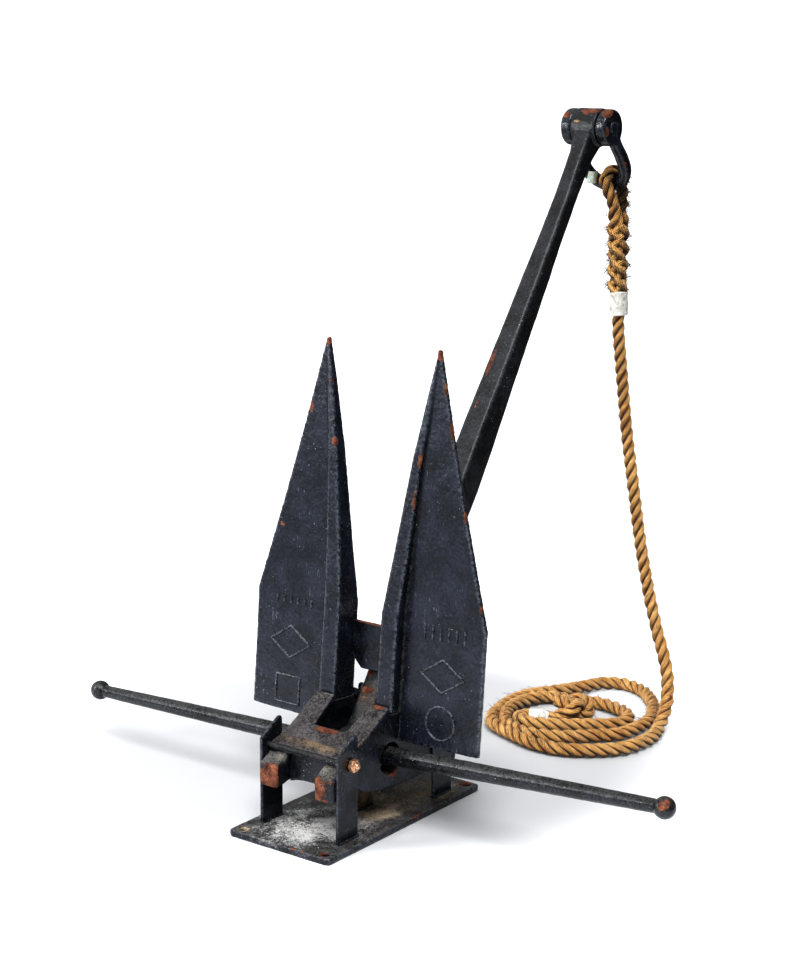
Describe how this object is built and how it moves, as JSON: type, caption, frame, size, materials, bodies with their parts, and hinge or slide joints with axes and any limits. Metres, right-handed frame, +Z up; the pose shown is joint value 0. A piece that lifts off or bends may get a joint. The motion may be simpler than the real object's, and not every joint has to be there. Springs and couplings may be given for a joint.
{
  "type": "anchor",
  "caption": "Pivoting-fluke anchor with a round stock and a long shank, fixed on a welded steel display base. A laid rope is spliced to its shackle and coiled on the floor.",
  "frame": {"origin": "centre of the base plate's underside, on the floor", "axes": "+Z up; +Y from the front of the base towards its back, the way the shank leans; +X along the stock, to the right seen from the front"},
  "size_m": [1.2702, 1.101, 1.1988],
  "materials": {
    "paint": "chipped, worn semi-gloss black paint over cast and forged steel",
    "rough_paint": "matt, dusty and pitted",
    "rust": "rough red-brown rust",
    "base": "matt black paint under dust and grit",
    "grit": "rough, covered in grit",
    "bolt": "dull copper-coloured metal",
    "rope": "hairy laid natural fibre",
    "whipping": "matt white twine"
  },
  "bodies": {
    "stand_and_anchor": {"base_plate": "base", "bridge_plate": "rust", "crown_cheek_left": "paint", "crown_cheek_right": "paint", "crown_wall_front": "rough_paint", "crown_wall_rear": "rough_paint", "fluke_left": "paint", "fluke_right": "paint", "lug_bolt_left": "bolt", "lug_bolt_right": "bolt", "lug_front_left": "paint", "lug_front_right": "paint", "lug_nut_left": "bolt", "lug_nut_right": "bolt", "lug_rear_left": "paint", "lug_rear_right": "paint", "nose_front_left": "rust", "nose_front_right": "rust", "nose_rear_left": "rust", "nose_rear_right": "rust", "palm_front": "rough_paint", "palm_lip_front": "rough_paint", "palm_lip_rear": "rough_paint", "palm_rear": "rough_paint", "rope_coil": "rope", "rope_fall": "rope", "rope_knot": "rope", "rope_tail": "rope", "shank": "paint", "stock_ball_left": "paint", "stock_ball_right": "paint", "stock_rod": "paint", "support_block": "grit"},
    "shackle": {"shackle_bow": "paint", "shackle_pin": "paint", "rope_eye": "rope", "rope_splice": "rope", "splice_whipping": "whipping"}
  },
  "joints": [
    {"name": "shackle_swing", "type": "hinge", "parent": "stand_and_anchor", "child": "shackle", "pos_m": [0, 0.72267, 1.16281], "axis": [1, 0, 0], "range_deg": [-42, 120], "deforming": ["rope_eye", "rope_splice", "splice_whipping"]}
  ]
}
